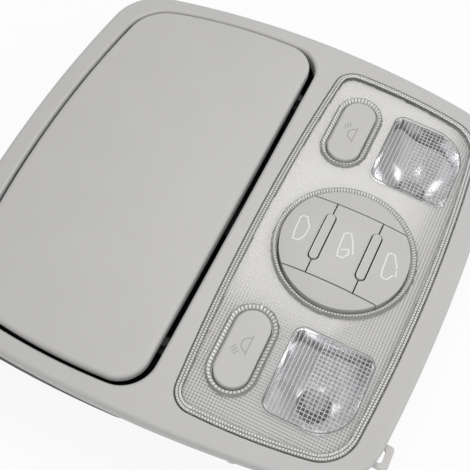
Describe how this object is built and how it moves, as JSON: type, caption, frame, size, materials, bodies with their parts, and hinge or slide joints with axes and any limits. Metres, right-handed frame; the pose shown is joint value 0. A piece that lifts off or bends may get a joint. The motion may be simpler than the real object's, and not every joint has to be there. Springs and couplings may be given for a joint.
{
  "type": "car dome light",
  "caption": "Overhead car console lamp: crowned panel with a clear prismatic lens, map lamp and centre push buttons, and a hinged sunglasses box with a damped door.",
  "frame": {"origin": "centre of the four bracket boss ends, at the back of the console", "axes": "+Z out of the visible face, +X from the sunglasses door to the lamps, +Y along the lens"},
  "size_m": [0.2116, 0.2112, 0.0486],
  "materials": {
    "grey_plastic": "fine grain",
    "clear_plastic": "clear, prismatic",
    "metallised": "metallised",
    "bulb_glass": "clear",
    "black_plastic": "satin",
    "dark_plastic": "fine grain",
    "gear_plastic": "satin",
    "board": "solder mask",
    "brass": "stamped",
    "steel": "zinc plated",
    "rubber": "matte",
    "felt": "felt"
  },
  "bodies": {
    "console": {"bezel": "grey_plastic", "lens": "clear_plastic", "inner_panel": "grey_plastic", "lamp_housing": "grey_plastic", "left_reflector": "metallised", "right_reflector": "metallised", "left_bulb": "bulb_glass", "right_bulb": "bulb_glass", "left_bulb_socket": "black_plastic", "right_bulb_socket": "black_plastic", "left_bus_bar": "brass", "right_bus_bar": "brass", "switch_board": "board", "board_parts": "black_plastic", "plug_header": "black_plastic", "plug_pins": "brass", "switch_frame": "grey_plastic", "door_side_pad": "rubber", "centre_pad": "rubber", "rear_pad": "rubber", "left_push_switch": "black_plastic", "right_push_switch": "black_plastic", "left_return_spring": "steel", "right_return_spring": "steel", "glasses_case": "dark_plastic", "hinge_pins": "steel", "door_bumpers": "rubber", "damper_body": "black_plastic", "latch_body": "black_plastic", "case_screws": "steel", "lamp_screws": "steel", "board_screws": "steel"},
    "door": {"door_panel": "grey_plastic", "door_screws": "steel", "glasses_tray": "dark_plastic", "tray_liner": "felt", "latch_striker": "black_plastic"},
    "damper_pinion": {"damper_gear": "gear_plastic"},
    "left_map_key": {"left_map_button": "grey_plastic"},
    "right_map_key": {"right_map_button": "grey_plastic"},
    "door_side_key": {"door_side_button": "grey_plastic"},
    "centre_key": {"centre_button": "grey_plastic"},
    "rear_key": {"rear_button": "grey_plastic"}
  },
  "joints": [
    {"name": "door_hinge", "type": "hinge", "parent": "console", "child": "door", "pos_m": [-0.0918, 0, 0.038], "axis": [0, -1, 0], "range_deg": [0, 48]},
    {"name": "damper_spin", "type": "hinge", "parent": "console", "child": "damper_pinion", "pos_m": [-0.0662, 0.0887, 0.02439], "axis": [0, -1, 0], "range_deg": [-232, 2]},
    {"name": "left_map_press", "type": "slide", "parent": "console", "child": "left_map_key", "axis": [0, 0, -1], "range_m": [0, 0.0025], "stiffness_N_per_m": 300, "springref_m": -0.002, "deforming": ["left_return_spring"]},
    {"name": "right_map_press", "type": "slide", "parent": "console", "child": "right_map_key", "axis": [0, 0, -1], "range_m": [0, 0.0025], "stiffness_N_per_m": 300, "springref_m": -0.002, "deforming": ["right_return_spring"]},
    {"name": "door_side_press", "type": "slide", "parent": "console", "child": "door_side_key", "axis": [0, 0, -1], "range_m": [0, 0.0015], "stiffness_N_per_m": 600, "springref_m": -0.0015, "deforming": ["door_side_pad"]},
    {"name": "centre_press", "type": "slide", "parent": "console", "child": "centre_key", "axis": [0, 0, -1], "range_m": [0, 0.0015], "stiffness_N_per_m": 600, "springref_m": -0.0015, "deforming": ["centre_pad"]},
    {"name": "rear_press", "type": "slide", "parent": "console", "child": "rear_key", "axis": [0, 0, -1], "range_m": [0, 0.0015], "stiffness_N_per_m": 600, "springref_m": -0.0015, "deforming": ["rear_pad"]}
  ],
  "couplings": [
    {"joint": "damper_spin", "follows": "door_hinge", "ratio": -4.8}
  ]
}
